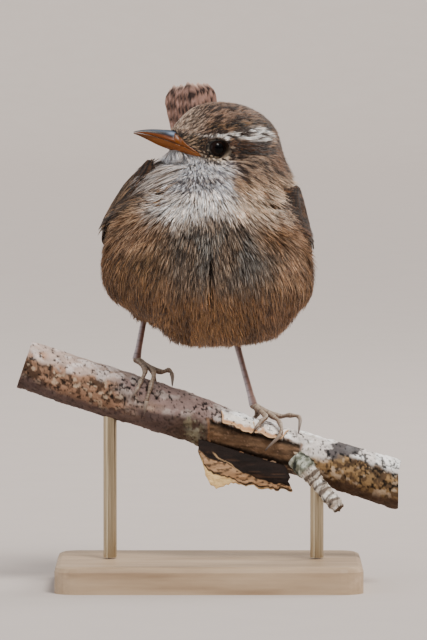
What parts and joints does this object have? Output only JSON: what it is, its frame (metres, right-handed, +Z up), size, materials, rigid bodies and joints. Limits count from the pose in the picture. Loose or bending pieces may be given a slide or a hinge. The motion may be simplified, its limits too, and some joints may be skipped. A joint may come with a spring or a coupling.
{
  "type": "wren",
  "caption": "Life-size Eurasian wren, puffed up with its head turned and tail cocked, gripping a cut length of birch branch on a plain display stand.",
  "frame": {"origin": "centre of the underside of the stand's base, on the floor", "axes": "+Z up; the bird's breast faces -Y, its head is turned towards -X, and the perch runs along X and falls towards +X"},
  "size_m": [0.0864, 0.0532, 0.1121],
  "materials": {
    "plumage": "soft small body feathers, matte",
    "flight": "barred flight and tail feathers, matte with a faint sheen",
    "eye": "wet, glossy",
    "bill_dark": "horn, satin",
    "bill_pale": "horn, satin",
    "leg": "scaled skin, satin",
    "bark": "birch bark, matte",
    "loose_bark": "peeling papery bark, matte",
    "stand": "pale oiled wood, satin",
    "rod": "drawn brass, brushed"
  },
  "bodies": {
    "root": {"torso": "plumage", "neck": "plumage", "head": "plumage", "thigh_left": "plumage", "thigh_right": "plumage", "wing_left": "flight", "wing_right": "flight", "tail": "flight", "eye_left": "eye", "eye_right": "eye", "bill_upper": "bill_dark", "bill_lower": "bill_pale", "shank_left": "leg", "shank_right": "leg", "foot_left": "leg", "foot_right": "leg", "perch": "bark", "perch_twig": "bark", "perch_bark_flap": "loose_bark", "stand_base": "stand", "stand_rod_left": "rod", "stand_rod_right": "rod"}
  },
  "joints": []
}
